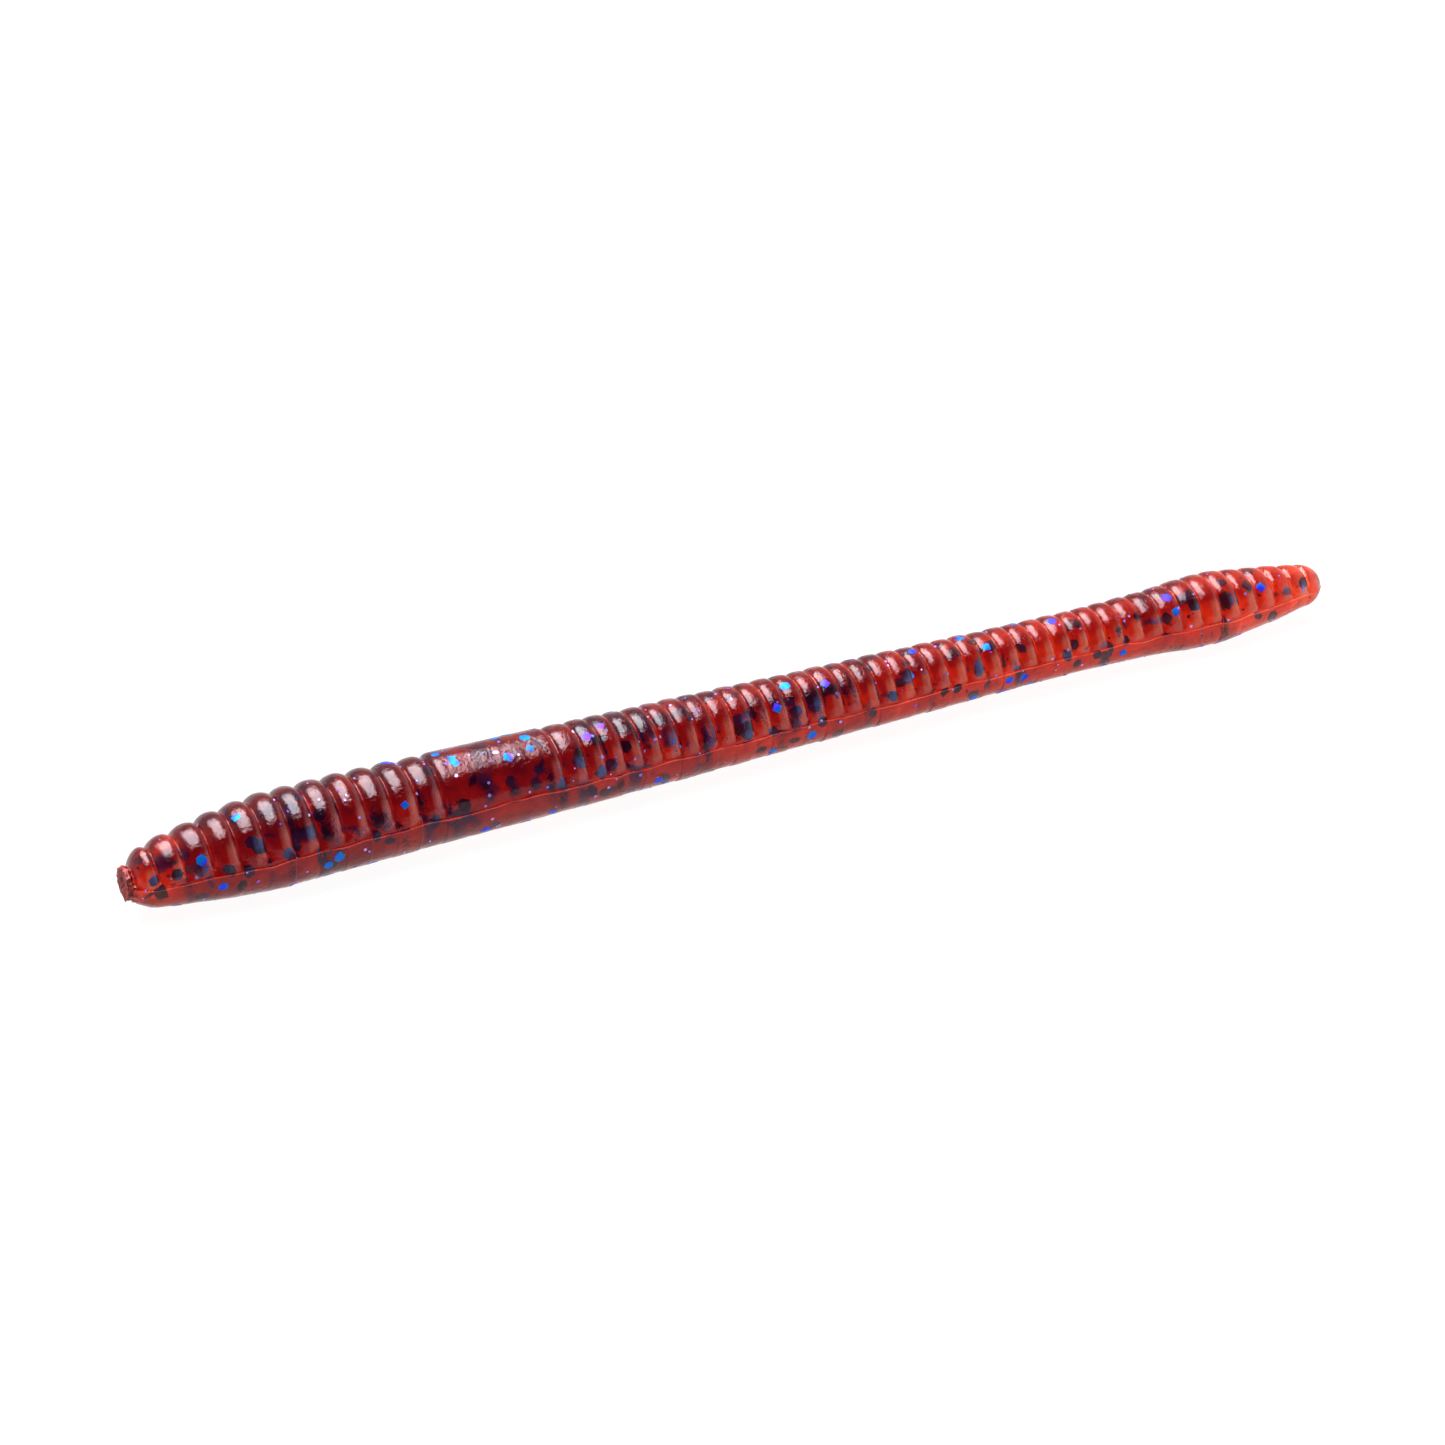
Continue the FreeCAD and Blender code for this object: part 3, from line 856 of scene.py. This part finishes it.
def scatter_flakes(seed, wanted, across_range, thickness, layers):
    """Flat flakes in layers of (share, greatest depth, tilt), each flake as (place, rims)."""
    draw = random.Random(seed)
    flakes = []
    attempts = 0
    while len(flakes) < wanted and attempts < wanted * ATTEMPTS_PER_FLAKE:
        attempts += 1
        place = draw.uniform(FLAKES_NOSE_GAP, LENGTH - FLAKES_TAIL_GAP)
        angle = draw.uniform(-math.pi, math.pi)
        across = draw.uniform(*across_range)
        outer = radius_at(place, angle)
        if draw.random() > outer / FATTEST:
            continue
        pick = draw.random()
        for share, deepest, tilt in layers:
            if pick < share:
                break
            pick -= share
        at_surface = deepest == 0
        sunk = FLAKE_COVER + thickness + deepest * draw.random() ** DEPTH_CROWDING
        depth = -SMALL_RISE * thickness if at_surface else sunk
        if depth > outer:
            continue
        x, height = on_axis(np.array(place))
        radius = max(outer - depth, 0.0)
        centre = (
            float(x),
            radius * math.sin(angle),
            float(height) + radius * math.cos(angle),
        )
        normal = (
            draw.gauss(0, tilt),
            math.sin(angle) + draw.gauss(0, tilt),
            math.cos(angle) + draw.gauss(0, tilt),
        )
        turn = draw.uniform(0, math.pi)
        sides = SQUARE_SIDES if draw.random() < SQUARE_SHARE else FLAKE_SIDES
        rims = flake_corners(centre, normal, across, thickness, sides, turn)
        corners = rims[0] + rims[1]
        if at_surface:
            fits = min(corner.z for corner in corners) > 0
        else:
            fits = all(is_inside(corner) for corner in corners)
        if fits:
            flakes.append((place, rims))
    return flakes


def drape_flake(place, angle, across, sides, turn):
    """A flake at the surface, bent to the skin: its outline, as two levels of three rings."""
    radius = radius_at(place, angle)
    outline = []
    for level in (-FLAKE_PROUD, FLAKE_PROUD):
        rings = []
        for share in (0.0, 0.5, 1.0):
            ring = []
            for index in range(2 * sides):
                spoke = math.pi * index / sides
                corner = 1.0 if index % 2 == 0 else math.cos(math.pi / sides)
                reach = across / 2 * share * corner
                ring.append((
                    place + reach * math.cos(spoke + turn),
                    angle + reach * math.sin(spoke + turn) / radius,
                ))
            where = np.array(ring)
            skin = fine_radius(where[:, 0], where[:, 1]) + level
            rings.append(to_space(where[:, 0], where[:, 1], skin))
        outline.append(rings)
    return outline


def scatter_draped(seed, wanted):
    """Large flakes lying in the surface of the skin, each within one rib or on the belly."""
    draw = random.Random(seed)
    flakes = []
    while len(flakes) < wanted:
        place = draw.uniform(FIRST_RING + STUB_CLEARANCE, RINGS[LAST_RING])
        angle = draw.uniform(-math.pi, math.pi)
        across = draw.uniform(*LARGE_ACROSS)
        turn = draw.uniform(0, math.pi)
        sides = SQUARE_SIDES if draw.random() < DRAPED_SQUARE_SHARE else FLAKE_SIDES
        is_thin = draw.random() > float(smooth_curve(RADII, np.array(place))) / FATTEST
        cell = int(np.searchsorted(RINGS, place, side="right")) - 1
        gap = min(place - RINGS[cell], RINGS[cell + 1] - place)
        steepness = abs(float(turned(np.array(angle))))
        over_groove = gap < GROOVE_CLEARANCE * across and steepness < RIB_END
        over_flash = abs(steepness - math.pi / 2) < FLASH_CLEARANCE
        under_belly = abs(angle) > UNDERSIDE_START
        if is_thin or over_groove or over_flash or under_belly:
            continue
        outline = drape_flake(place, angle, across, sides, turn)
        if min(ring[:, 2].min() for rings in outline for ring in rings) > 0:
            flakes.append((place, outline))
    return flakes


def add_draped(points, faces, outline):
    """Adds a draped flake's two faces and its rim."""
    starts = []
    for rings in outline:
        levels = []
        for ring in rings[1:]:
            levels.append(len(points))
            points += [tuple(point) for point in ring]
        points.append(tuple(rings[0][0]))
        starts.append((levels, len(points) - 1))
    count = len(outline[0][0])
    for (levels, middle), is_upper in zip(starts, (False, True)):
        inner, outer = levels
        for index in range(count):
            after = (index + 1) % count
            centre_face = (middle, inner + index, inner + after)
            outer_face = (inner + index, outer + index, outer + after, inner + after)
            for face in (centre_face, outer_face):
                faces.append(face if is_upper else face[::-1])
    lower, upper = starts[0][0][1], starts[1][0][1]
    faces += wall(lower, upper, count)


def build_flakes(name, flakes, draped, material, draped_material):
    """One object with all the given flakes, the flat ones and the draped ones."""
    points = []
    faces = []
    for _, (lower, upper) in flakes:
        start = len(points)
        sides = len(lower)
        points += [tuple(point) for point in lower + upper]
        faces.append(tuple(start + index for index in reversed(range(sides))))
        faces.append(tuple(start + sides + index for index in range(sides)))
        faces += wall(start, start + sides, sides)
    flat_faces = len(faces)
    for _, outline in draped:
        add_draped(points, faces, outline)
    mesh = bpy.data.meshes.new(name)
    mesh.from_pydata(points, [], faces)
    mesh.materials.append(material)
    if draped:
        mesh.materials.append(draped_material)
        for polygon in mesh.polygons[flat_faces:]:
            polygon.material_index = 1
    mesh.update()
    return add_object(name, mesh)


large_flakes = scatter_flakes(
    LARGE_SEED, LARGE_FLAKES, LARGE_ACROSS, LARGE_THICKNESS, LARGE_LAYERS
)
surface_flakes = scatter_draped(SURFACE_SEED, SURFACE_FLAKES)
small_flakes = scatter_flakes(
    SMALL_SEED, SMALL_FLAKES, SMALL_ACROSS, SMALL_THICKNESS, SMALL_LAYERS
)


# ------------------------------------------------------------------ pieces on the joints

def joint_place(name):
    return joints[name]["pos_m"][0] - NOSE_X


def nodes_between(start, end):
    """The CAD nodes whose middle is between two places along the axis."""
    chosen = []
    for name in frame["nodes"]:
        low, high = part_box(name)
        middle = (low.x + high.x) / 2 - NOSE_X
        if start <= middle < end:
            chosen.append(name)
    return chosen


def seam_places():
    """Where lengths of skin begin and end: at the ring nearest the middle of two joints."""
    places = [0.0]
    for before, after in zip(JOINT_ORDER, JOINT_ORDER[1:]):
        middle = (joint_place(before) + joint_place(after)) / 2
        places.append(float(RINGS[int(np.argmin(np.abs(RINGS - middle)))]))
    return places + [float(LENGTH)]


SEAMS = seam_places()
BEND_MARGIN = 0.12 * MM
LONGEST_REACH = 2.9 * MM

# The collar carries the others, so at the first joints the front body is the child.
HEAD_JOINTS = 2


def bend(piece, index):
    """Works out the stretch on both sides of a piece's joint and its front and rear bodies, then
    bakes the piece's place into its points.
    """
    joint = joints[JOINT_ORDER[index]]
    middle = joint_place(joint["name"])
    reach = min(middle - SEAMS[index], SEAMS[index + 1] - middle) - BEND_MARGIN
    reach = min(reach, LONGEST_REACH)
    front_body, rear_body = joint["child"], joint["parent"]
    if index >= HEAD_JOINTS:
        front_body, rear_body = rear_body, front_body
    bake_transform(piece)


def between(flakes, start, end):
    """The flakes that lie between two places along the axis."""
    return [flake for flake in flakes if start <= flake[0] < end]


for index in range(len(JOINT_ORDER)):
    start, end = SEAMS[index], SEAMS[index + 1]
    number = index + 1
    nodes = nodes_between(start, end)
    large_nodes = [name for name in nodes if name.startswith("large_flakes")]
    small_nodes = [name for name in nodes if name.startswith("small_flakes")]
    moulding_nodes = [name for name in nodes if name not in large_nodes + small_nodes]

    first = slice_nearest(start)
    last = slice_nearest(end) if end < LENGTH else len(PLACES) - 1
    skin = build_skin(f"moulding_{number:02d}", first, last)
    bend(skin, index)
    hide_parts(*moulding_nodes)

    inside = between(large_flakes, start, end)
    draped = between(surface_flakes, start, end)
    large = build_flakes(f"large_foil_{number:02d}", inside, draped, sunk_foil, large_foil)
    bend(large, index)
    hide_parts(*large_nodes)

    inside = between(small_flakes, start, end)
    small = build_flakes(f"small_foil_{number:02d}", inside, [], small_foil, small_foil)
    bend(small, index)
    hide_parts(*small_nodes)


# ------------------------------------------------------------------ floor, light and camera

FLOOR_SIZE = 6.0
FLOOR_DROP = 0.02 * MM
FLOOR_COLOUR = (0.06, 0.06, 0.06, 1.0)
FLOOR_GLOW = 0.96


def build_floor():
    """White paper under the worm, which glows a little so that it looks evenly white."""
    half = FLOOR_SIZE / 2
    mesh = bpy.data.meshes.new("floor")
    corners = [(-half, -half), (half, -half), (half, half), (-half, half)]
    mesh.from_pydata([(x, y, -FLOOR_DROP) for x, y in corners], [], [(0, 1, 2, 3)])
    material, _, _, shader = new_material("floor_paper")
    shader.inputs["Base Color"].default_value = FLOOR_COLOUR
    shader.inputs["Roughness"].default_value = 0.9
    shader.inputs["Specular IOR Level"].default_value = 0.0
    shader.inputs["Emission Color"].default_value = (1.0, 1.0, 1.0, 1.0)
    shader.inputs["Emission Strength"].default_value = FLOOR_GLOW
    mesh.materials.append(material)
    piece = add_object("floor", mesh)


SOFTBOX_PLACE = (-0.06, 0.22, 0.60)
SOFTBOX_LENGTH = 0.58
SOFTBOX_WIDTH = 0.72
SOFTBOX_RADIANCE = 14.0
SOFTBOX_COLOUR = (0.88, 0.94, 1.0)


def build_softbox():
    """A soft box above and behind, facing the worm, its length along the worm."""
    light = bpy.data.lights.new("overhead_softbox", "AREA")
    light.shape = "RECTANGLE"
    light.size = SOFTBOX_LENGTH
    light.size_y = SOFTBOX_WIDTH
    light.color = SOFTBOX_COLOUR
    light.energy = SOFTBOX_RADIANCE * math.pi * SOFTBOX_LENGTH * SOFTBOX_WIDTH
    lamp = add_object("overhead_softbox", light)
    backward = Vector(SOFTBOX_PLACE).normalized()
    sideways = Vector((1, 0, 0))
    sideways = (sideways - backward * sideways.dot(backward)).normalized()
    turn = Matrix((sideways, backward.cross(sideways), backward)).transposed()
    lamp.matrix_world = Matrix.Translation(SOFTBOX_PLACE) @ turn.to_4x4()


# How strongly the surroundings shine, by direction: from dark in front of the worm to white
# behind it, and brighter still beyond the tail.
BACK_LIMITS = (-0.12, 0.35)
BACK_STRENGTHS = (0.04, 1.0)
TAIL_LIMITS = (0.50, 0.80)
TAIL_STRENGTHS = (0.0, 2.0)


def build_world():
    """White surroundings behind, a reflector at the tail, and a dark room before the worm."""
    world = bpy.data.worlds.new("studio")
    world.use_nodes = True
    nodes, links = world.node_tree.nodes, world.node_tree.links
    nodes.clear()
    output = nodes.new("ShaderNodeOutputWorld")
    background = nodes.new("ShaderNodeBackground")
    coordinates = nodes.new("ShaderNodeTexCoord")
    parts = nodes.new("ShaderNodeSeparateXYZ")
    links.new(coordinates.outputs["Generated"], parts.inputs["Vector"])
    back = map_range(nodes, links, parts.outputs["Y"], BACK_LIMITS, BACK_STRENGTHS)
    tail_side = map_range(nodes, links, parts.outputs["X"], TAIL_LIMITS, TAIL_STRENGTHS)
    brighter = nodes.new("ShaderNodeMath")
    brighter.operation = "MAXIMUM"
    links.new(back, brighter.inputs[0])
    links.new(tail_side, brighter.inputs[1])
    links.new(brighter.outputs["Value"], background.inputs["Strength"])
    links.new(background.outputs["Background"], output.inputs["Surface"])
    bpy.context.scene.world = world


CAMERA_AZIMUTH = -25.3 * DEGREE
CAMERA_ELEVATION = 33.1 * DEGREE
CAMERA_DISTANCE = 0.395
CAMERA_LENS = 128.2
SENSOR = 36.0
AIM_SIDEWAYS = -1.90 * MM
AIM_UPWARDS = -0.47 * MM
NEAREST_SEEN = 0.01
VIEW_GAMMA = 0.82


def build_camera():
    """A long lens from the near side, a little towards the nose and from above."""
    data = bpy.data.cameras.new("camera")
    data.lens = CAMERA_LENS
    data.sensor_width = SENSOR
    data.clip_start = NEAREST_SEEN
    camera = add_object("camera", data)
    target = (cad_low + cad_high) / 2
    away = Vector((
        math.sin(CAMERA_AZIMUTH) * math.cos(CAMERA_ELEVATION),
        -math.cos(CAMERA_AZIMUTH) * math.cos(CAMERA_ELEVATION),
        math.sin(CAMERA_ELEVATION),
    ))
    rightwards = Vector((math.cos(CAMERA_AZIMUTH), math.sin(CAMERA_AZIMUTH), 0))
    upwards = away.cross(rightwards)
    camera.location = target + away * CAMERA_DISTANCE
    aimed_at = target + rightwards * AIM_SIDEWAYS + upwards * AIM_UPWARDS
    towards = aimed_at - camera.location
    camera.rotation_euler = towards.to_track_quat("-Z", "Y").to_euler()
    bpy.context.scene.camera = camera


build_floor()
build_softbox()
build_world()
build_camera()
bpy.context.scene.view_settings.view_transform = "Standard"
bpy.context.scene.view_settings.gamma = VIEW_GAMMA
